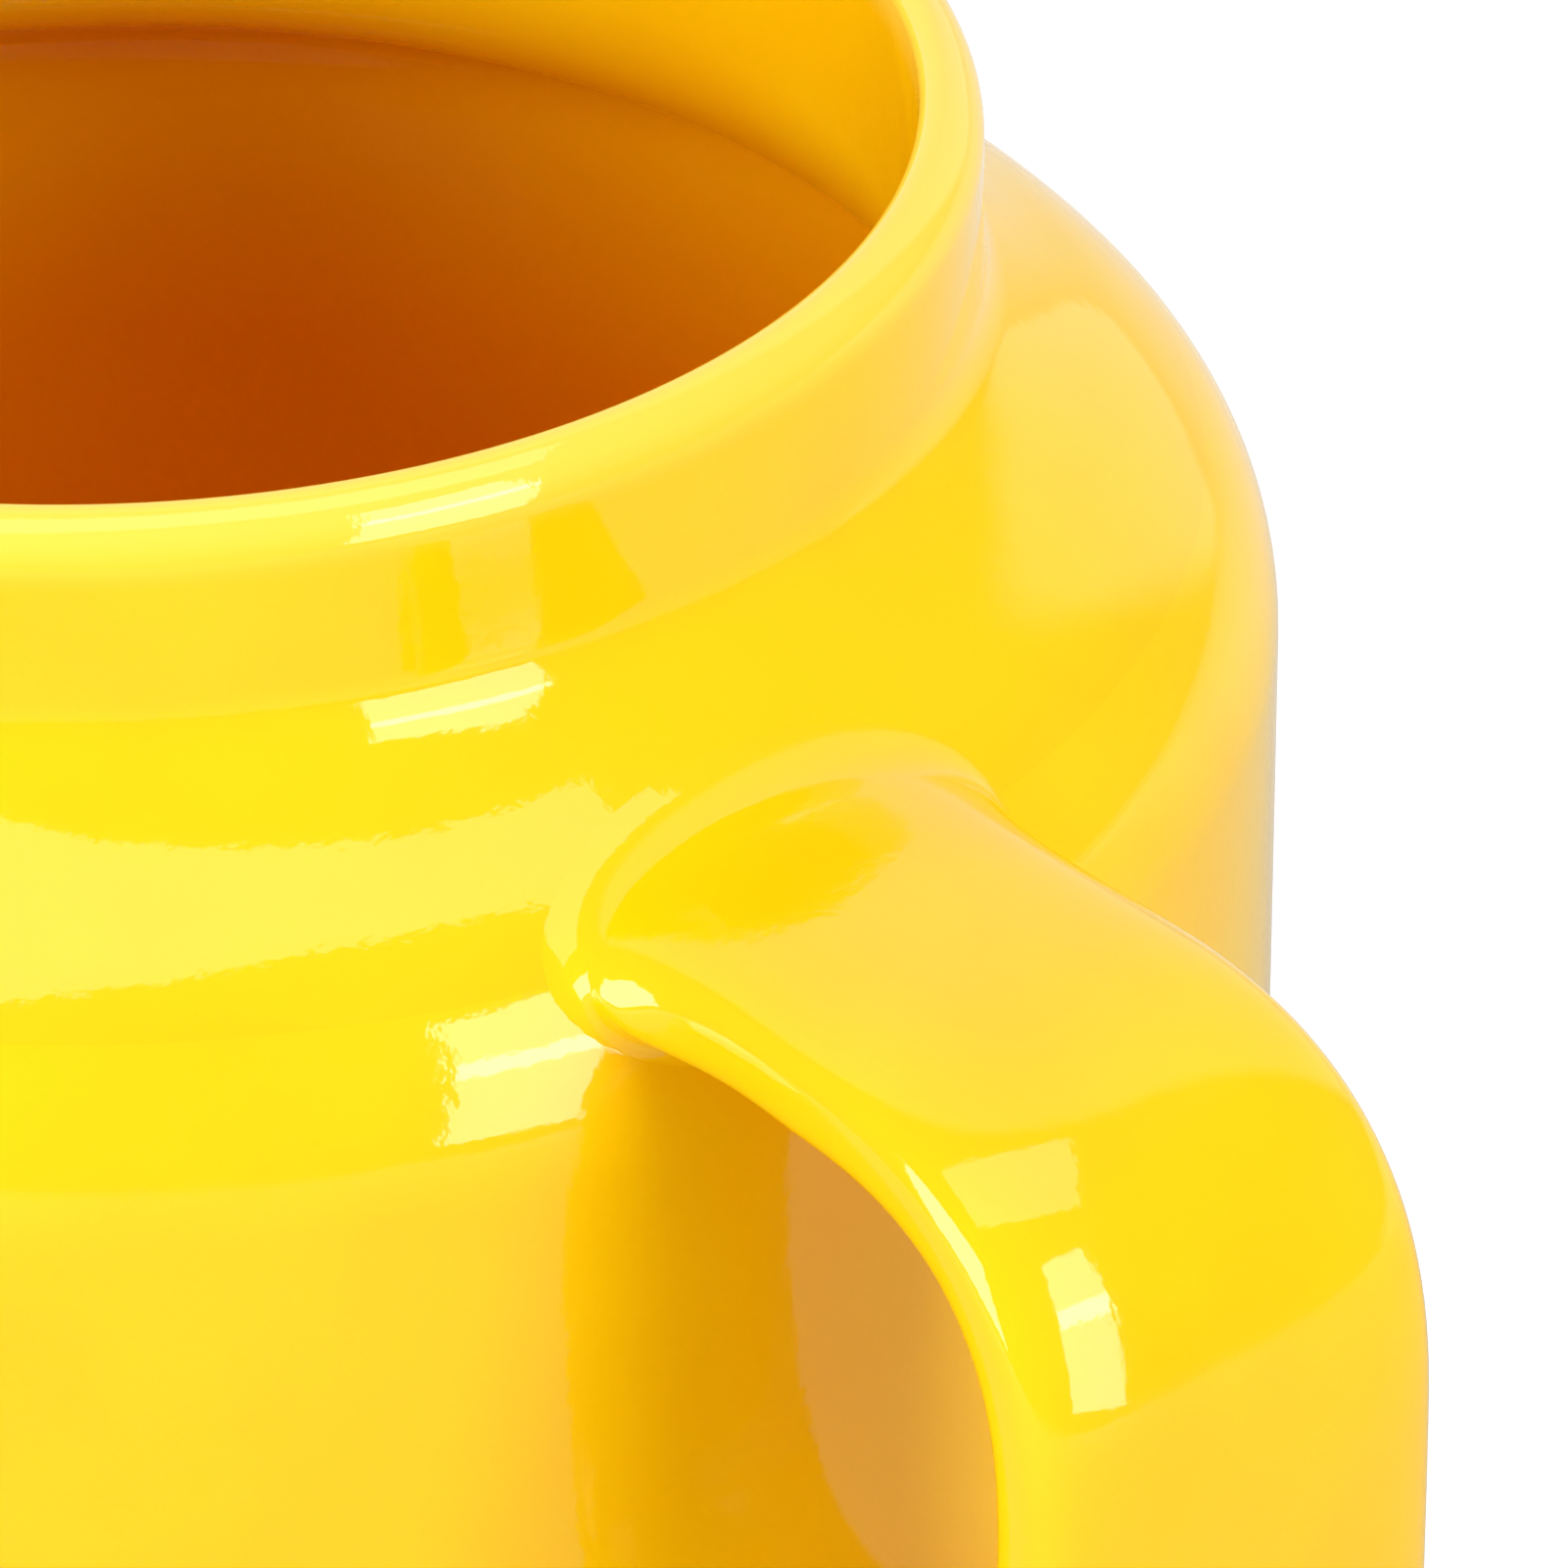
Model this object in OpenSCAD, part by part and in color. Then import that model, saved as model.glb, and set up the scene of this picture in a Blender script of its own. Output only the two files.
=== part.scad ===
// Soup mug with a short neck, a round shoulder and a wide strap handle.
// Millimetres. The foot stands on z = 0, the axis is Z and the handle points along +X.

/* [Body] */
// Outside diameter of the wall, over the glaze
body_d = 116; // [108:1:128]
// Height from the table to the top of the lip
height = 96; // [90:1:110]
// Thickness of the wall with its glaze on both sides
wall_t = 4.5; // [3.6:0.1:6]
// Radius of the outer shoulder
shoulder_r = 12.5; // [11:0.1:14]
// Drop from the lip to where the shoulder meets the wall
shoulder_drop = 29.9; // [28:0.1:34]
// Degrees round the shoulder, and round the groove, to the slope between them
slope_a = 42; // [36:1:50]
// Length over which the slope keeps that angle at each end, before it flattens
slope_pull = 6; // [3:0.2:8]

/* [Neck and lip] */
// Distance from the wall in to the neck
neck_in = 14.8; // [12:0.1:18]
// Thickness of the neck with its glaze on both sides
neck_t = 3.2; // [2.6:0.1:3.8]
// Drop from the lip to where the neck curves out
neck_h = 9.1; // [7.5:0.1:10.5]
// Radius of the groove at the foot of the neck
groove_r = 4.6; // [3.5:0.1:6]
// Drop from the lip to where the inside curves out under the neck
bulge_h = 12.4; // [11:0.1:14]
// Radius of that curve
bulge_r = 11; // [8:0.1:13]
// Length over which the slope inside keeps its angle at each end
bulge_pull = 3; // [2:0.2:4]
// Radius over the top of the lip
lip_r = 1.05; // [0.9:0.05:1.2]
// Radius of the easy curve from the lip down to the neck
lip_round = 3; // [2.4:0.1:5]

/* [Base] */
// Outside radius from the wall to the underside
base_r = 14; // [10:0.5:17]
// Inside radius from the wall to the floor
well_r = 10; // [6:0.5:14]
// Thickness of the floor inside the foot ring
floor_t = 4; // [3:0.1:6]
// Outside diameter of the foot ring
foot_d = 72; // [60:1:78]
// Width of the foot ring
foot_w = 4; // [3:0.1:6]
// Height of the foot ring
foot_h = 2.5; // [1.5:0.1:4]
// Wiped edge on the foot ring
foot_edge = 0.6; // [0.3:0.1:1]

/* [Handle] */
// Drop from the lip to the middle of the upper run
handle_drop = 21.1; // [20:0.1:24]
// Distance between the middles of the two runs
handle_span = 46.7; // [40:0.1:50]
// Finger gap between the wall and the upright of the strap
handle_gap = 22.4; // [18:0.2:30]
// Size of the two bends along the middle of the strap
bend_r = 17.4; // [14:0.2:19]
// Squareness of the bends, 2 is a true quarter circle
bend_square = 2.7; // [2:0.05:3]
// Width of the strap at its upright
strap_w = 24.2; // [20:0.2:28]
// Width of the strap at its waists, short of the wall
waist_w = 21; // [17:0.2:24]
// Thickness of the strap
strap_t = 7.5; // [6:0.1:9]
// Squareness of the strap's section, 2 is an ellipse
edge_square = 2.8; // [2:0.1:3.4]
// Width of its flared ends, next to the fillet at the wall
root_w = 24.8; // [20:0.2:28]
// Thickness of its flared ends
root_t = 8.3; // [7.6:0.1:11]
// Reach of the fillet along the strap
fillet_len = 2; // [0.8:0.1:3]
// Reach of the fillet over the wall at the strap's edges
fillet_w = 1.7; // [0.8:0.1:3]
// Reach of the fillet over the wall above and below the strap
fillet_t = 1.8; // [0.6:0.1:2.4]

/* [Glaze and seams] */
// Thickness of the glaze
glaze_t = 0.5; // [0.3:0.05:0.7]
// Thickness of the slip between the handle and the body
seam_t = 0.5; // [0.3:0.05:0.8]

/* [Hidden] */

$fn = 144;
// Degrees between the points of a profile's arcs
arc_step = 6;
// Steps along the slope
slope_n = 8;
// Points round the strap's section, and rings along each run and each bend
section_n = 28;
run_n = 6;
// How fast the flare dies away from the wall, across the strap and through its thickness
flare_fall = [3, 8];
bend_n = 9;
// Places of the fillet's rings, from the free strap at 0 to the wall at 1
fillet_at = [0.75, 0.5, 0.25, 0];
// Share of the strap's length that is its upper run, and its upper run and bend
run_share = 0.125;
bend_share = 0.44;

body_r = body_d / 2;
neck_r = body_r - neck_in;
foot_r = foot_d / 2;
inner_r = body_r - wall_t;
floor_z = foot_h + floor_t;
base_c = [body_r - base_r, foot_h + base_r];
well_c = [inner_r - well_r, floor_z + well_r];

// The shoulder, the groove and the curve under the neck are arcs.
shoulder_c = [body_r - shoulder_r, height - shoulder_drop];
groove_c = [neck_r + groove_r, height - neck_h];
bulge_c = [neck_r - neck_t + bulge_r, height - bulge_h];
hollow_r = shoulder_r - wall_t;

// The top of the lip sits inside the easy curve and touches it.
lip_c = [neck_r - neck_t + lip_r, height - lip_r];
round_x = neck_r - lip_round;
round_c = [round_x, lip_c[1] - sqrt(pow(lip_round - lip_r, 2) - pow(lip_c[0] - round_x, 2))];
lip_a = bearing(round_c, lip_c);

// The strap's middle line runs out from inside the neck, down and back.
upper_z = height - handle_drop;
lower_z = upper_z - handle_span;
strap_x = body_r + handle_gap + strap_t / 2;
bend_x = strap_x - bend_r;
mid_z = (upper_z + lower_z) / 2;
root_x = neck_r + 2;

// Angle from the point a to the point b
function bearing(a, b) = atan2(b[1] - a[1], b[0] - a[0]);

// Points of an arc; skip leaves out points that the arc before it has already given
function arc(c, r, a0, a1, skip = 0) =
    let (n = ceil(abs(a1 - a0) / arc_step))
    [for (i = [skip:n]) let (a = a0 + (a1 - a0) * i / n) c + r * [cos(a), sin(a)]];

function backwards(points) = [for (i = [len(points) - 1:-1:0]) points[i]];

// Points between an arc of radius rs round the shoulder and one of radius r round the centre c
function slope(rs, c, r, pull) =
    let (
        out = [cos(slope_a), sin(slope_a)],
        along = pull * [-sin(slope_a), cos(slope_a)],
        low = shoulder_c + rs * out,
        high = c - r * out)
    [for (i = [1:slope_n - 1]) let (t = i / slope_n, q = 1 - t)
        q * q * q * low + 3 * q * q * t * (low + along) + 3 * q * t * t * (high - along) + t * t * t * high];

// Outside profile from the foot ring to the top of the lip, a depth g under the finished surface
function outer_line(g) = concat(
    foot_r < base_c[0] ? [[foot_r, foot_h + g]] : [],
    arc(base_c, base_r - g, -90, 0),
    arc(shoulder_c, shoulder_r - g, 0, slope_a),
    slope(shoulder_r - g, groove_c, groove_r + g, slope_pull),
    arc(groove_c, groove_r + g, 180 + slope_a, 180),
    arc(round_c, lip_round - g, 0, lip_a),
    arc(lip_c, lip_r - g, lip_a, 90, 1));

// Inside profile from just past the top of the lip to the middle of the floor
function inner_line(g) = concat(
    arc(lip_c, lip_r - g, 90, 180, 1),
    arc(bulge_c, bulge_r - g, 180, 180 + slope_a),
    backwards(slope(hollow_r + g, bulge_c, bulge_r - g, bulge_pull)),
    arc(shoulder_c, hollow_r + g, slope_a, 0),
    arc(well_c, well_r + g, 0, -90),
    [[0, floor_z - g]]);

function lip_top(g) = [lip_c[0], height - g];

foot_line = [
    [0, foot_h],
    [foot_r - foot_w, foot_h],
    [foot_r - foot_w, foot_edge],
    [foot_r - foot_w + foot_edge, 0],
    [foot_r - foot_edge, 0],
    [foot_r, foot_edge]];

// Radius of the outside at the height z, a depth g under the finished surface
function wall_r(z, g) = lookup(z, [for (p = outer_line(g)) [p[1], p[0]]]);

// Where a line along X at p = [y, z] meets the outside
function wall_x(p, g) = sqrt(pow(wall_r(p[1], g), 2) - p[0] * p[0]);

function squared(v) = sign(v) * pow(abs(v), 2 / edge_square);

// Points round the section as [side, lift], each from -1 to 1
section = [for (k = [0:section_n - 1]) let (t = 360 * k / section_n) [squared(cos(t)), squared(sin(t))]];

// The same points on an ellipse, for the flared ends
oval = [for (k = [0:section_n - 1]) let (t = 360 * k / section_n) [cos(t), sin(t)]];

// Half the strap's width at the share u of its length
function half_w(u) = strap_w / 2 - (strap_w - waist_w) / 2 * pow(1 - 2 * u, 2);

// Point k of the flared end as [y, z], a distance d outside it
function root_yz(k, d, top) =
    let (p = [(root_w / 2 + d[0]) * oval[k][0], (root_t / 2 + d[1]) * oval[k][1]])
    [p[0], top ? upper_z + p[1] : lower_z - p[1]];

// Point k of a run as [y, z], at the share f of its way from the flared end to the bend
function run_yz(k, f, g, top) =
    let (
        flare = [pow(1 - f, flare_fall[0]), pow(1 - f, flare_fall[1])],
        end = root_yz(k, [-g, -g], top),
        z = (strap_t / 2 - g) * section[k][1])
    [flare[0] * end[0] + (1 - flare[0]) * (half_w(run_share * f) - g) * section[k][0],
     flare[1] * end[1] + (1 - flare[1]) * (top ? upper_z + z : lower_z - z)];

// A point of the fillet, which leaves the flared end at t = 0 and touches the wall at t = 1
function fillet_point(k, t, g, top) =
    let (
        free = root_yz(k, [-g, -g], top),
        foot = root_yz(k, [fillet_w - g, fillet_t - g], top),
        x = wall_x(free, g),
        q = 1 - t)
    q * q * [x + fillet_len, free[0], free[1]] + 2 * q * t * [x, free[0], free[1]]
    + t * t * [wall_x(foot, g), foot[0], foot[1]];

function fillet_ring(t, g, top) = [for (k = [0:section_n - 1]) fillet_point(k, t, g, top)];

// The ring that runs on under the wall's surface
function sunk_ring(g, top) =
    let (a = fillet_ring(fillet_at[0], g, top), b = fillet_ring(fillet_at[1], g, top))
    a + 1.2 * (a - b);

// Rings of a root, from its flat end inside the wall to the start of the bend
function root_rings(g, top) = concat(
    [[for (p = sunk_ring(g, top)) [root_x, p[1], p[2]]], sunk_ring(g, top)],
    [for (t = fillet_at) fillet_ring(t, g, top)],
    [for (i = [1:run_n]) let (share = i / (run_n + 1))
        [for (k = [0:section_n - 1]) let (p = run_yz(k, share, g, top), x = wall_x(p, g) + fillet_len)
            [x + (bend_x - x) * share, p[0], p[1]]]]);

// Middle line of the upper bend as [x, z, share of the length]
bend_line = [for (i = [0:bend_n]) let (a = 90 * i / bend_n) [
    bend_x + bend_r * pow(sin(a), 2 / bend_square),
    upper_z + bend_r * (pow(cos(a), 2 / bend_square) - 1),
    run_share + (bend_share - run_share) * i / bend_n]];

// Middle line of both bends
strap_line = concat(bend_line, [for (p = backwards(bend_line)) [p[0], 2 * mid_z - p[1], 1 - p[2]]]);

// One section of the bends, square to the middle line
function bend_ring(i, g) =
    let (
        p = strap_line[i],
        n = len(strap_line) - 1,
        step = strap_line[min(i + 1, n)] - strap_line[max(i - 1, 0)],
        ahead = i == 0 ? [1, 0] : i == n ? [-1, 0] : [step[0], step[1]] / norm([step[0], step[1]]),
        b = strap_t / 2 - g)
    [for (s = section)
        [p[0] - ahead[1] * b * s[1], (half_w(p[2]) - g) * s[0], p[1] + ahead[0] * b * s[1]]];

function strap_rings(g) = concat(
    root_rings(g, true),
    [for (i = [0:len(strap_line) - 1]) bend_ring(i, g)],
    backwards(root_rings(g, false)));

strap_n = len(strap_rings(0));

function strap_points(g) = [for (ring = strap_rings(g)) each ring];

// Triangles between neighbouring rings; base is the first point's number, flip turns them inside out
function side_faces(base, flip) = [
    for (i = [0:strap_n - 2], k = [0:section_n - 1])
    let (
        a = base + i * section_n + k,
        b = base + i * section_n + (k + 1) % section_n,
        c = a + section_n,
        d = b + section_n)
    each flip ? [[a, b, c], [b, d, c]] : [[a, c, b], [b, c, d]]];

// Triangles that close one end of the coat between its outer and inner rings
function end_faces(a0, b0, flip) = [
    for (k = [0:section_n - 1])
    let (a = a0 + k, b = a0 + (k + 1) % section_n, c = b0 + k, d = b0 + (k + 1) % section_n)
    each flip ? [[a, c, b], [b, c, d]] : [[a, b, c], [b, d, c]]];

module strap(g) {
    last = (strap_n - 1) * section_n;
    polyhedron(
        strap_points(g),
        concat(
            side_faces(0, false),
            [[for (k = [0:section_n - 1]) k]],
            [[for (k = [section_n - 1:-1:0]) last + k]]));
}

module strap_coat() {
    count = strap_n * section_n;
    last = count - section_n;
    polyhedron(
        concat(strap_points(0), strap_points(glaze_t)),
        concat(
            side_faces(0, false),
            side_faces(count, true),
            end_faces(0, count, false),
            end_faces(last, count + last, true)));
}

// Everything inside the outer surface, a depth g under the finished one, without the foot
module filled(g) {
    rotate_extrude() polygon(concat([[0, foot_h + g]], outer_line(g), [[0, height - g]]));
}

// Layer outside the clay that the slip fills where the handle meets it
module seam_layer() {
    difference() {
        filled(glaze_t - seam_t);
        filled(glaze_t);
    }
}

module half(upper) {
    reach = strap_x + strap_w;
    translate([0, -reach, upper ? mid_z : mid_z - reach]) cube([reach, 2 * reach, reach]);
}

module body() {
    color("linen") rotate_extrude()
        polygon(concat(foot_line, outer_line(glaze_t), inner_line(glaze_t)));
}

module handle() {
    color("wheat") difference() {
        strap(glaze_t);
        filled(glaze_t - seam_t);
    }
}

module upper_slip() {
    color("tan") intersection() {
        seam_layer();
        strap(glaze_t);
        half(true);
    }
}

module lower_slip() {
    color("tan") intersection() {
        seam_layer();
        strap(glaze_t);
        half(false);
    }
}

module outer_glaze() {
    color("gold") difference() {
        rotate_extrude() polygon(concat(outer_line(0), backwards(outer_line(glaze_t))));
        strap(glaze_t);
    }
}

module liner_glaze() {
    color("goldenrod") rotate_extrude()
        polygon(concat(
            [lip_top(0)], inner_line(0), backwards(inner_line(glaze_t)), [lip_top(glaze_t)]));
}

module handle_glaze() {
    color("khaki") difference() {
        strap_coat();
        filled(0);
    }
}

body();
handle();
upper_slip();
lower_slip();
outer_glaze();
liner_glaze();
handle_glaze();
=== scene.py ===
import bpy
import bmesh
from math import atan2, ceil, cos, degrees, hypot, pi, radians, sin, sqrt
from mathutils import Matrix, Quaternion, Vector


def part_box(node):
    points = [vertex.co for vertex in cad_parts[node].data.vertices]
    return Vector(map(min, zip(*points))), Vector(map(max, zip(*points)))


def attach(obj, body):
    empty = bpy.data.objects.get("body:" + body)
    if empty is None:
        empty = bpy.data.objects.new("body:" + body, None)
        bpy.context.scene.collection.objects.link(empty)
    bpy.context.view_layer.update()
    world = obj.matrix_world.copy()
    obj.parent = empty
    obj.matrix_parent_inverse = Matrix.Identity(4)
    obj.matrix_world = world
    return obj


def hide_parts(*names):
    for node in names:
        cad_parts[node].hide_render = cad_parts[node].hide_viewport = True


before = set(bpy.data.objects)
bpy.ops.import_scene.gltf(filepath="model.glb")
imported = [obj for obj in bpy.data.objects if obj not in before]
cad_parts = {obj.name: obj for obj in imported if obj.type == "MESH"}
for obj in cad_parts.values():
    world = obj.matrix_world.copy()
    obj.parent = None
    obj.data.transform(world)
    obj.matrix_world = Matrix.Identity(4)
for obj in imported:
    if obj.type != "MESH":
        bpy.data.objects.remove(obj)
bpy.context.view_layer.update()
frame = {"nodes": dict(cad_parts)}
scene = bpy.context.scene
scene.view_settings.view_transform = "Standard"
mm = 0.001
print("frame loaded:", ", ".join(frame["nodes"]))


# one node of a material, its settings by socket name and links as (node, output) pairs
def addNode(tree, kind, sockets=None, **props):
    node = tree.nodes.new(kind)
    for name, value in props.items():
        setattr(node, name, value)
    for name, value in (sockets or {}).items():
        if isinstance(value, tuple) and isinstance(value[0], bpy.types.Node):
            tree.links.new(value[0].outputs[value[1]], node.inputs[name])
        else:
            node.inputs[name].default_value = value
    return node


def newMaterial(name):
    material = bpy.data.materials.new(name)
    material.use_nodes = True
    tree = material.node_tree
    return material, tree, tree.nodes["Principled BSDF"]


def ramp(tree, source, stops):
    node = addNode(tree, "ShaderNodeValToRGB", {"Fac": source})
    node.color_ramp.interpolation = "EASE"
    while len(node.color_ramp.elements) < len(stops):
        node.color_ramp.elements.new(0.5)
    for element, (at, colour) in zip(node.color_ramp.elements, stops):
        element.position = at
        element.color = colour
    return node


def mixColour(tree, factor, a, b):
    node = addNode(tree, "ShaderNodeMix", data_type="RGBA", blend_type="MIX")
    for index, value in ((0, factor), (6, a), (7, b)):
        if isinstance(value, tuple) and isinstance(value[0], bpy.types.Node):
            tree.links.new(value[0].outputs[value[1]], node.inputs[index])
        else:
            node.inputs[index].default_value = value
    return node


def grey(v):
    return (v, v, v, 1)


def finishMesh(name, bm, material):
    mesh = bpy.data.meshes.new(name)
    bmesh.ops.recalc_face_normals(bm, faces=bm.faces)
    bm.to_mesh(mesh)
    bm.free()
    for face in mesh.polygons:
        face.use_smooth = True
    piece = bpy.data.objects.new(name, mesh)
    scene.collection.objects.link(piece)
    mesh.materials.append(material)
    return piece


glaze = {
    "yellow": (0.97, 0.60, 0.002, 1),      # main coat
    "deepYellow": (0.96, 0.55, 0.001, 1),  # where it runs a little thicker
    "lipYellow": (0.98, 0.68, 0.07, 1),    # thin over the lip, so the clay lightens it
    "insideShade": (0.98, 0.38, 0.001, 1),      # painted shade: a deeper orange well inside the mug, in place of the shade and bounced light of the hollow
    "speck": (0.30, 0.07, 0.01, 1),
    "lipFrom": 0.0925, "lipTo": 0.0955,    # height of the thin band
    "shadeFrom": 0.078, "shadeTo": 0.052,    # heights over which the painted shade inside deepens, below the neck
    "linerSlack": 0.0002,                  # how far past the liner still counts as inside
    "cloud": 38, "cloudEdges": (0.35, 0.68),
    "speckCells": 130, "speckSize": 0.028, "speckShare": 0.03,
    "roughness": (0.035, 0.07), "ior": 1.5,
    "peel": 1300, "peelDepth": 0.000009,   # orange peel, under 1 mm
    "wave": 110, "waveDepth": 0.00006,     # slow unevenness, about 9 mm
}


def glazeMaterial(name, inside):
    material, tree, shader = newMaterial(name)
    place = addNode(tree, "ShaderNodeTexCoord")
    here = (place, "Object")
    cloud = addNode(tree, "ShaderNodeTexNoise", {
        "Vector": here, "Scale": glaze["cloud"], "Detail": 3, "Roughness": 0.55})
    start, end = glaze["cloudEdges"]
    patch = ramp(tree, (cloud, "Fac"), [(start, grey(0)), (end, grey(1))])
    tone = mixColour(tree, (patch, "Color"), glaze["yellow"], glaze["deepYellow"])
    axes = addNode(tree, "ShaderNodeSeparateXYZ", {"Vector": here})
    if inside:
        # painted shade: inside the liner the glaze turns a deeper orange towards the floor, in
        # place of the shade and bounced light there
        deep = addNode(tree, "ShaderNodeMapRange", {
            "Value": (axes, "Z"), "From Min": glaze["shadeFrom"], "From Max": glaze["shadeTo"]})
        across = addNode(tree, "ShaderNodeVectorMath", {0: here, 1: (1, 1, 0)},
                         operation="MULTIPLY")
        reach = addNode(tree, "ShaderNodeVectorMath", {0: (across, "Vector")}, operation="LENGTH")
        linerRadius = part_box("liner_glaze")[1][0]
        lined = addNode(tree, "ShaderNodeMath", {
            0: (reach, "Value"), 1: linerRadius + glaze["linerSlack"]}, operation="LESS_THAN")
        paintedShade = addNode(tree, "ShaderNodeMath", {
            0: (deep, "Result"), 1: (lined, "Value")}, operation="MULTIPLY")
        tone = mixColour(tree, (paintedShade, "Value"), (tone, 2), glaze["insideShade"])
        thin = addNode(tree, "ShaderNodeMapRange", {
            "Value": (axes, "Z"), "From Min": glaze["lipFrom"], "From Max": glaze["lipTo"]},
            interpolation_type="SMOOTHSTEP")
        tone = mixColour(tree, (thin, "Result"), (tone, 2), glaze["lipYellow"])
    # a few tiny iron specks, one cell in thirty
    cells = addNode(tree, "ShaderNodeTexVoronoi", {"Vector": here, "Scale": glaze["speckCells"]})
    dot = addNode(tree, "ShaderNodeMath", {
        0: (cells, "Distance"), 1: glaze["speckSize"]}, operation="LESS_THAN")
    pick = addNode(tree, "ShaderNodeSeparateColor", {"Color": (cells, "Color")})
    rare = addNode(tree, "ShaderNodeMath", {
        0: (pick, "Red"), 1: 1 - glaze["speckShare"]}, operation="GREATER_THAN")
    speck = addNode(tree, "ShaderNodeMath", {
        0: (dot, "Value"), 1: (rare, "Value")}, operation="MULTIPLY")
    tone = mixColour(tree, (speck, "Value"), (tone, 2), glaze["speck"])
    tree.links.new(tone.outputs[2], shader.inputs["Base Color"])
    smoothest, roughest = glaze["roughness"]
    gloss = addNode(tree, "ShaderNodeMapRange", {
        "Value": (cloud, "Fac"), "To Min": smoothest, "To Max": roughest})
    tree.links.new(gloss.outputs["Result"], shader.inputs["Roughness"])
    shader.inputs["IOR"].default_value = glaze["ior"]
    peel = addNode(tree, "ShaderNodeTexNoise", {
        "Vector": here, "Scale": glaze["peel"], "Detail": 2})
    wave = addNode(tree, "ShaderNodeTexNoise", {
        "Vector": here, "Scale": glaze["wave"], "Detail": 1})
    slow = addNode(tree, "ShaderNodeBump", {
        "Height": (wave, "Fac"), "Strength": 1, "Distance": glaze["waveDepth"]})
    fine = addNode(tree, "ShaderNodeBump", {
        "Height": (peel, "Fac"), "Strength": 1, "Distance": glaze["peelDepth"],
        "Normal": (slow, "Normal")})
    tree.links.new(fine.outputs["Normal"], shader.inputs["Normal"])
    return material


clay = {
    "biscuit": (0.80, 0.73, 0.60, 1), "biscuitDark": (0.68, 0.60, 0.47, 1),
    "slip": (0.72, 0.64, 0.51, 1), "slipDark": (0.58, 0.50, 0.38, 1),
    "cloud": 90, "cloudEdges": (0.3, 0.75),
    "grain": 1500, "grainDepth": 0.00006, "grogEdges": (0.62, 0.70),
    "roughness": (0.75, 0.95),
}


def clayMaterial(name, pale, dark):
    material, tree, shader = newMaterial(name)
    place = addNode(tree, "ShaderNodeTexCoord")
    here = (place, "Object")
    cloud = addNode(tree, "ShaderNodeTexNoise", {
        "Vector": here, "Scale": clay["cloud"], "Detail": 5, "Roughness": 0.65})
    start, end = clay["cloudEdges"]
    stain = ramp(tree, (cloud, "Fac"), [(start, grey(0)), (end, grey(1))])
    tone = mixColour(tree, (stain, "Color"), pale, dark)
    grain = addNode(tree, "ShaderNodeTexNoise", {
        "Vector": here, "Scale": clay["grain"], "Detail": 4})
    start, end = clay["grogEdges"]
    grog = ramp(tree, (grain, "Fac"), [(start, grey(0)), (end, grey(1))])
    tone = mixColour(tree, (grog, "Color"), (tone, 2), dark)
    tree.links.new(tone.outputs[2], shader.inputs["Base Color"])
    smoothest, roughest = clay["roughness"]
    rough = addNode(tree, "ShaderNodeMapRange", {
        "Value": (grain, "Fac"), "To Min": smoothest, "To Max": roughest})
    tree.links.new(rough.outputs["Result"], shader.inputs["Roughness"])
    bump = addNode(tree, "ShaderNodeBump", {
        "Height": (grain, "Fac"), "Distance": clay["grainDepth"]})
    tree.links.new(bump.outputs["Normal"], shader.inputs["Normal"])
    return material


bodyGlaze = glazeMaterial("bodyGlaze", True)
handleGlaze = glazeMaterial("handleGlaze", False)
biscuit = clayMaterial("biscuit", clay["biscuit"], clay["biscuitDark"])
slip = clayMaterial("slip", clay["slip"], clay["slipDark"])
for nodeName, material in (("body", biscuit), ("handle", biscuit),
                           ("upper_slip", slip), ("lower_slip", slip)):
    mesh = frame["nodes"][nodeName].data
    mesh.materials.clear()
    mesh.materials.append(material)
print("materials made")


# the turned body, millimetres over the finished glaze, the same values as the CAD source
mug = {
    "wallThick": 4.5, "shoulderRadius": 12.5, "shoulderDrop": 29.9,
    "slopeAngle": 42.0, "slopePull": 6.0,
    "neckRadius": 43.2, "neckThick": 3.2, "neckHeight": 9.1, "grooveRadius": 4.6,
    "bulgeDrop": 12.4, "bulgeRadius": 11.0, "bulgePull": 3.0,    # the inside under the neck
    "lipRadius": 1.05, "lipRound": 3.0,
    "baseRadius": 14.0, "wellRadius": 10.0, "floorThick": 4.0,
    "footRadius": 36.0, "footHeight": 2.5,
    "glazeThick": 0.5,
    "arcStep": 3.0, "longest": 3.0,        # degrees on arcs and millimetres on straights
    "slopeSteps": 24,
    "steps": 216,                          # round the axis
    "weld": 0.0000005,                     # metres, joins the points on the axis
}
bodyRadius = -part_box("outer_glaze")[0][0] / mm
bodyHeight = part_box("liner_glaze")[1][2] / mm


def arc(centre, radius, start, end, skip=0):
    count = ceil(abs(end - start) / mug["arcStep"])
    turns = [radians(start + (end - start) * i / count) for i in range(skip, count + 1)]
    return [(centre[0] + radius * cos(a), centre[1] + radius * sin(a)) for a in turns]


def bearing(a, b):
    return degrees(atan2(b[1] - a[1], b[0] - a[0]))


shoulder = (bodyRadius - mug["shoulderRadius"], bodyHeight - mug["shoulderDrop"])
groove = (mug["neckRadius"] + mug["grooveRadius"], bodyHeight - mug["neckHeight"])
bulge = (mug["neckRadius"] - mug["neckThick"] + mug["bulgeRadius"],
         bodyHeight - mug["bulgeDrop"])


# the slope between the shoulder's arc and the one above it, at the same angle at both ends
def slope(shoulderRadius, centre, radius, pull):
    a = radians(mug["slopeAngle"])
    out, along = Vector((cos(a), sin(a))), pull * Vector((-sin(a), cos(a)))
    low, high = Vector(shoulder) + shoulderRadius * out, Vector(centre) - radius * out
    line = []
    for i in range(1, mug["slopeSteps"]):
        t = i / mug["slopeSteps"]
        q = 1 - t
        line.append(tuple(q ** 3 * low + 3 * q * q * t * (low + along)
                          + 3 * q * t * t * (high - along) + t ** 3 * high))
    return line


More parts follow.
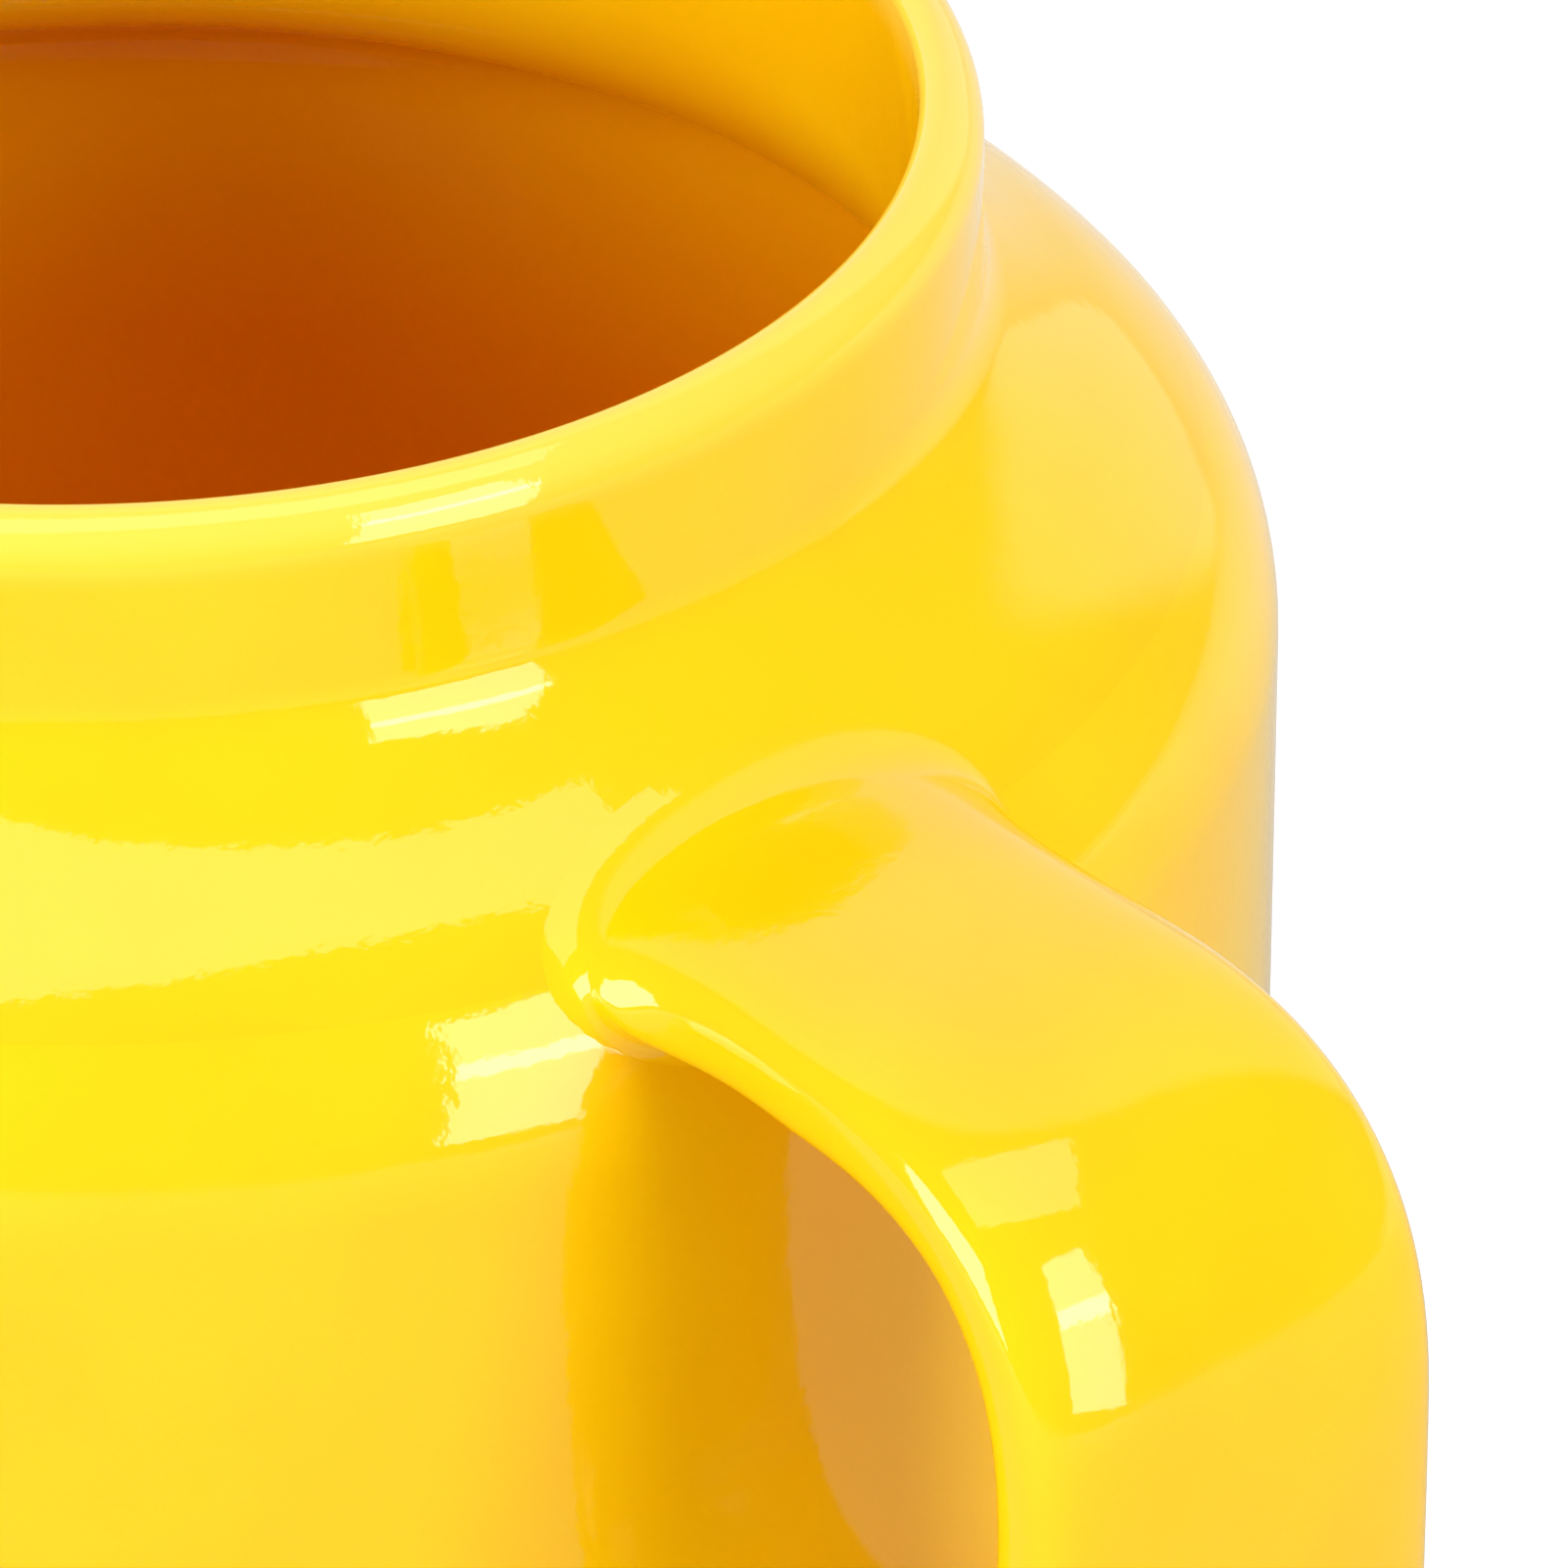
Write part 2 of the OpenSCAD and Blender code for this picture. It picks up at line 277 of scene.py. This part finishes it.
def outerLine(depth):
    baseCentre = (bodyRadius - mug["baseRadius"], mug["footHeight"] + mug["baseRadius"])
    lip = (mug["neckRadius"] - mug["neckThick"] + mug["lipRadius"], bodyHeight - mug["lipRadius"])
    easyX = mug["neckRadius"] - mug["lipRound"]
    between = mug["lipRound"] - mug["lipRadius"]
    easy = (easyX, lip[1] - sqrt(between ** 2 - (lip[0] - easyX) ** 2))
    return ([(mug["footRadius"], mug["footHeight"] + depth)]
            + arc(baseCentre, mug["baseRadius"] - depth, -90, 0)
            + arc(shoulder, mug["shoulderRadius"] - depth, 0, mug["slopeAngle"])
            + slope(mug["shoulderRadius"] - depth, groove, mug["grooveRadius"] + depth,
                    mug["slopePull"])
            + arc(groove, mug["grooveRadius"] + depth, 180 + mug["slopeAngle"], 180)
            + arc(easy, mug["lipRound"] - depth, 0, bearing(easy, lip))
            + arc(lip, mug["lipRadius"] - depth, bearing(easy, lip), 90, 1))


def innerLine(depth):
    hollow = mug["shoulderRadius"] - mug["wallThick"]
    floorZ = mug["footHeight"] + mug["floorThick"]
    well = (bodyRadius - mug["wallThick"] - mug["wellRadius"], floorZ + mug["wellRadius"])
    lip = (mug["neckRadius"] - mug["neckThick"] + mug["lipRadius"], bodyHeight - mug["lipRadius"])
    return (arc(lip, mug["lipRadius"] - depth, 90, 180, 1)
            + arc(bulge, mug["bulgeRadius"] - depth, 180, 180 + mug["slopeAngle"])
            + slope(hollow + depth, bulge, mug["bulgeRadius"] - depth, mug["bulgePull"])[::-1]
            + arc(shoulder, hollow + depth, mug["slopeAngle"], 0)
            + arc(well, mug["wellRadius"] + depth, 0, -90)
            + [(0, floorZ - depth)])


# the long straights get points of their own, so that the shading stays even
def filled(line):
    out = [line[0]]
    for a, b in zip(line, line[1:]):
        dx, dz = b[0] - a[0], b[1] - a[1]
        parts = max(1, ceil(hypot(dx, dz) / mug["longest"]))
        out += [(a[0] + dx * i / parts, a[1] + dz * i / parts) for i in range(1, parts + 1)]
    return out


def turnedCoat(name, material):
    outside = filled(outerLine(0) + innerLine(0))
    inside = filled(outerLine(mug["glazeThick"]) + innerLine(mug["glazeThick"]))
    section = outside[::-1] + inside
    bm = bmesh.new()
    line = [bm.verts.new((r * mm, 0, z * mm)) for r, z in section]
    edges = [bm.edges.new(pair) for pair in zip(line, line[1:])]
    bmesh.ops.spin(bm, geom=line + edges, axis=(0, 0, 1), angle=2 * pi,
                   steps=mug["steps"], use_merge=True)
    bmesh.ops.remove_doubles(bm, verts=bm.verts, dist=mug["weld"])
    return finishMesh(name, bm, material)


glazeCoat = turnedCoat("glazeCoat", bodyGlaze)
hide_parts("outer_glaze", "liner_glaze")
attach(glazeCoat, "root")
print("glaze coat turned:", len(glazeCoat.data.polygons), "faces")


# the strap handle, millimetres over the finished glaze, the same values as the CAD source
strap = {
    "drop": 21.1, "span": 46.7, "thick": 7.5, "wide": 24.2, "waistWide": 21.0,
    "bend": 17.4, "bendSquare": 2.7, "edgeSquare": 2.8,
    "rootWide": 24.8, "rootThick": 8.3,       # its flared ends
    "flareFall": (3, 8),                      # how fast it dies away, across and through the strap
    "filletLong": 2.0, "filletWide": 1.7, "filletHigh": 1.8,
    "runShare": 0.125, "bendShare": 0.44,     # shares of the length, from the upper root
    "sink": 0.05, "bury": 1.5,                # how far the fillet's foot and end go under the wall
    "sectionPoints": 96, "tracePoints": 7200,
    "filletRings": 12, "runRings": 18, "bendRings": 30, "uprightRings": 5,
}
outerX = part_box("handle_glaze")[1][0] / mm - strap["thick"] / 2
bendX = outerX - strap["bend"]
upperZ = bodyHeight - strap["drop"]
lowerZ = upperZ - strap["span"]


# half the width at a share of the length from 0 at the upper root to 1 at the lower one
def halfWidth(share):
    narrowing = (strap["wide"] - strap["waistWide"]) / 2
    return strap["wide"] / 2 - narrowing * (1 - 2 * share) ** 2


# points round the section as (side, lift), each from -1 to 1, evenly spaced along the edge, and
# beside them the same points on an ellipse, for the flared ends
def sectionRound():
    power = 2 / strap["edgeSquare"]
    flat = strap["thick"] / strap["wide"]
    trace = strap["tracePoints"]

    def signed(v):
        return (abs(v) ** power) * (1 if v >= 0 else -1)

    turns = [2 * pi * i / trace for i in range(trace + 1)]
    many = [(signed(cos(t)), signed(sin(t))) for t in turns]
    run = [0]
    for a, b in zip(many, many[1:]):
        run.append(run[-1] + hypot(b[0] - a[0], (b[1] - a[1]) * flat))
    out, oval, j = [], [], 0
    for k in range(strap["sectionPoints"]):
        goal = run[-1] * k / strap["sectionPoints"]
        while run[j + 1] < goal:
            j += 1
        out.append(many[j])
        oval.append((cos(turns[j]), sin(turns[j])))
    return out, oval


section, oval = sectionRound()
wallLine = outerLine(0)


# radius of the finished outside at a height between the base and the lip
def wallRadius(z):
    for a, b in zip(wallLine, wallLine[1:]):
        if a[1] <= z < b[1]:
            return a[0] + (b[0] - a[0]) * (z - a[1]) / (b[1] - a[1])


def wallX(y, z, under=0):
    return sqrt((wallRadius(z) - under) ** 2 - y * y)


# rings of one root, from its end inside the wall out to where the bend starts
def rootRings(runZ, up):
    lines = []
    for (side, lift), (ovalSide, ovalLift) in zip(section, oval):
        endY = strap["rootWide"] / 2 * ovalSide
        endZ = runZ + up * strap["rootThick"] / 2 * ovalLift
        footY = endY + strap["filletWide"] * ovalSide
        footZ = endZ + up * strap["filletHigh"] * ovalLift
        corner = Vector((wallX(endY, endZ), endY, endZ))
        free = corner + Vector((strap["filletLong"], 0, 0))
        foot = Vector((wallX(footY, footZ, strap["sink"]), footY, footZ))
        line = [Vector((wallX(footY, footZ) - strap["bury"], footY, footZ))]
        for j in range(strap["filletRings"] + 1):
            t = j / strap["filletRings"]
            line.append((1 - t) ** 2 * foot + 2 * t * (1 - t) * corner + t * t * free)
        for j in range(1, strap["runRings"] + 1):
            part = j / (strap["runRings"] + 1)
            across, through = ((1 - part) ** power for power in strap["flareFall"])
            y = across * endY + (1 - across) * halfWidth(strap["runShare"] * part) * side
            z = through * endZ + (1 - through) * (runZ + up * strap["thick"] / 2 * lift)
            x = wallX(y, z) + strap["filletLong"]
            line.append(Vector((x + (bendX - x) * part, y, z)))
        lines.append(line)
    return [[line[j] for line in lines] for j in range(len(lines[0]))]


# rings of the two bends and the upright, each square to the strap's middle line
def bendRings():
    power = 2 / strap["bendSquare"]
    line = []
    for i in range(strap["bendRings"] + 1):
        a = pi / 2 * i / strap["bendRings"]
        share = (strap["runShare"]
                 + (strap["bendShare"] - strap["runShare"]) * i / strap["bendRings"])
        line.append((bendX + strap["bend"] * sin(a) ** power,
                     upperZ + strap["bend"] * (max(cos(a), 0) ** power - 1), share))
    top, foot = line[-1][1], lowerZ + upperZ - line[-1][1]
    upright = []
    for i in range(1, strap["uprightRings"]):
        f = i / strap["uprightRings"]
        share = strap["bendShare"] + (1 - 2 * strap["bendShare"]) * f
        upright.append((outerX, top + (foot - top) * f, share))
    line += upright + [(x, lowerZ + upperZ - z, 1 - f) for x, z, f in line[::-1]]
    rings = []
    for i, (x, z, f) in enumerate(line):
        if i == 0 or i == len(line) - 1:
            ahead = (1, 0) if i == 0 else (-1, 0)
        else:
            a, b = line[i - 1], line[i + 1]
            length = hypot(b[0] - a[0], b[1] - a[1])
            ahead = ((b[0] - a[0]) / length, (b[1] - a[1]) / length)
        width, half = halfWidth(f), strap["thick"] / 2
        rings.append([Vector((x - ahead[1] * half * lift, width * side, z + ahead[0] * half * lift))
                      for side, lift in section])
    return rings


def strapCoat(name, material):
    rings = rootRings(upperZ, 1) + bendRings() + rootRings(lowerZ, -1)[::-1]
    bm = bmesh.new()
    made = [[bm.verts.new(p * mm) for p in ring] for ring in rings]
    count = len(section)
    for a, b in zip(made, made[1:]):
        for k in range(count):
            bm.faces.new((a[k], a[(k + 1) % count], b[(k + 1) % count], b[k]))
    for ring in (made[0], made[-1]):          # closed inside the wall
        middle = bm.verts.new(sum((v.co for v in ring), Vector()) / count)
        for k in range(count):
            bm.faces.new((ring[k], ring[(k + 1) % count], middle))
    return finishMesh(name, bm, material)


handleCoat = strapCoat("handleCoat", handleGlaze)
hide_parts("handle_glaze")
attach(handleCoat, "root")
print("handle coat drawn:", len(handleCoat.data.polygons), "faces")


# studio: azimuths are turned like the camera's, 0 in front at -Y and 90 at +X
studio = {
    "aim": (0, 0, 0.06),
    "room": 0.25,
    "darkSide": {"azimuth": 146, "elevation": 12, "from": 0.72, "to": 0.80, "glow": 0.20},
    "backdrop": {"azimuth": 235, "elevation": 27, "from": 0.60, "to": 0.68, "glow": 1.0},
    "softboxes": {
        "glintBox": {"azimuth": 97, "elevation": 28, "tilt": 0, "roll": -8, "distance": 1.05,
                     "size": (0.37, 0.98), "power": 5.8, "mirrored": True},
        "glintTube": {"azimuth": 97, "elevation": 28, "tilt": 0, "roll": -8, "distance": 1.02,
                      "size": (0.36, 0.12), "power": 1.0, "mirrored": True},
        "mainBox": {"azimuth": -4, "elevation": 18, "tilt": 18, "roll": 0, "distance": 1.2,
                    "size": (0.8, 0.7), "power": 13.5, "mirrored": True},
        "topBox": {"azimuth": 80, "elevation": 76, "tilt": 76, "roll": -4, "distance": 1.1,
                   "size": (1.1, 0.46), "power": 3.2, "mirrored": True},
        "fillBox": {"azimuth": 150, "elevation": 12, "tilt": 12, "roll": 0, "distance": 1.2,
                    "size": (0.6, 0.6), "power": 2.6, "mirrored": False},
    },
    "floorSize": 8.0, "floorCells": 8,
    "floor": (0.52, 0.52, 0.52, 1), "floorRoughness": 0.9, "floorShine": 0.1,
    # glow added to the floor for the camera, so that it is white but keeps its shadow, and in
    # reflections, where it rises towards the backdrop
    "floorWhite": 0.62, "floorMirrored": (0.0, 0.3), "floorRise": (0.04, 0.16),
}


def towards(azimuth, elevation):
    a, e = radians(azimuth), radians(elevation)
    return Vector((sin(a) * cos(e), -cos(a) * cos(e), sin(e)))


def lightRoom():
    world = bpy.data.worlds.new("room")
    scene.world = world
    world.use_nodes = True
    tree = world.node_tree
    plain = tree.nodes["Background"]
    place = addNode(tree, "ShaderNodeTexCoord")
    tone = grey(studio["room"])
    for side in (studio["darkSide"], studio["backdrop"]):
        way = tuple(towards(side["azimuth"], side["elevation"]))
        facing = addNode(tree, "ShaderNodeVectorMath", {
            0: (place, "Generated"), 1: way}, operation="DOT_PRODUCT")
        reach = ramp(tree, (facing, "Value"), [(side["from"], grey(0)), (side["to"], grey(1))])
        tone = (mixColour(tree, (reach, "Color"), tone, grey(side["glow"])), 2)
    tree.links.new(tone[0].outputs[tone[1]], plain.inputs["Color"])
    white = addNode(tree, "ShaderNodeBackground", {"Color": grey(1), "Strength": 1.0})
    rays = addNode(tree, "ShaderNodeLightPath")
    seen = addNode(tree, "ShaderNodeMixShader", {
        0: (rays, "Is Camera Ray"), 1: (plain, "Background"), 2: (white, "Background")})
    tree.links.new(seen.outputs["Shader"], tree.nodes["World Output"].inputs["Surface"])
    aim = Vector(studio["aim"])
    for name, box in studio["softboxes"].items():
        lamp = bpy.data.lights.new(name, "AREA")
        lamp.shape = "RECTANGLE"
        lamp.size, lamp.size_y = box["size"]
        lamp.energy = box["power"]
        holder = bpy.data.objects.new(name, lamp)
        holder.location = aim + towards(box["azimuth"], box["elevation"]) * box["distance"]
        turn = towards(box["azimuth"], box["tilt"]).to_track_quat("Z", "Y")
        holder.rotation_euler = (turn @ Quaternion((0, 0, 1), radians(box["roll"]))).to_euler()
        holder.visible_glossy = box["mirrored"]    # the fill only lifts the shaded side
        scene.collection.objects.link(holder)


def layFloor():
    material, tree, shader = newMaterial("paleFloor")
    shader.inputs["Base Color"].default_value = studio["floor"]
    shader.inputs["Roughness"].default_value = studio["floorRoughness"]
    shader.inputs["Specular IOR Level"].default_value = studio["floorShine"]
    rays = addNode(tree, "ShaderNodeLightPath")
    seen = addNode(tree, "ShaderNodeMath", {
        0: (rays, "Is Camera Ray"), 1: studio["floorWhite"]}, operation="MULTIPLY")
    place = addNode(tree, "ShaderNodeTexCoord")
    behind = addNode(tree, "ShaderNodeVectorMath", {
        0: (place, "Object"), 1: tuple(towards(studio["backdrop"]["azimuth"], 0))},
        operation="DOT_PRODUCT")
    near, far = studio["floorRise"]
    dim, bright = studio["floorMirrored"]
    rise = addNode(tree, "ShaderNodeMapRange", {
        "Value": (behind, "Value"), "From Min": near, "From Max": far,
        "To Min": dim, "To Max": bright})
    mirrored = addNode(tree, "ShaderNodeMath", {
        0: (rays, "Is Glossy Ray"), 1: (rise, "Result")}, operation="MULTIPLY")
    share = addNode(tree, "ShaderNodeMath", {
        0: (seen, "Value"), 1: (mirrored, "Value")}, operation="MAXIMUM")
    glow = addNode(tree, "ShaderNodeEmission", {"Color": grey(1), "Strength": (share, "Value")})
    both = addNode(tree, "ShaderNodeAddShader", {0: (shader, "BSDF"), 1: (glow, "Emission")})
    tree.links.new(both.outputs["Shader"], tree.nodes["Material Output"].inputs["Surface"])
    bm = bmesh.new()
    cells = studio["floorCells"]
    bmesh.ops.create_grid(bm, x_segments=cells, y_segments=cells, size=studio["floorSize"] / 2)
    floor = finishMesh("floor", bm, material)


lightRoom()
layFloor()
print("room lit")


# the photograph's view, a long lens looking down over the handle
view = {
    "place": (0.4562, -0.3288, 0.4012), "heading": 50.81, "down": 31.6,
    "lens": 301.8, "sensor": 36,
}
lens = bpy.data.cameras.new("camera")
lens.sensor_width = view["sensor"]
lens.lens = view["lens"]
camera = bpy.data.objects.new("camera", lens)
camera.location = view["place"]
camera.rotation_euler = (radians(90 - view["down"]), 0, radians(view["heading"]))
scene.collection.objects.link(camera)
scene.camera = camera
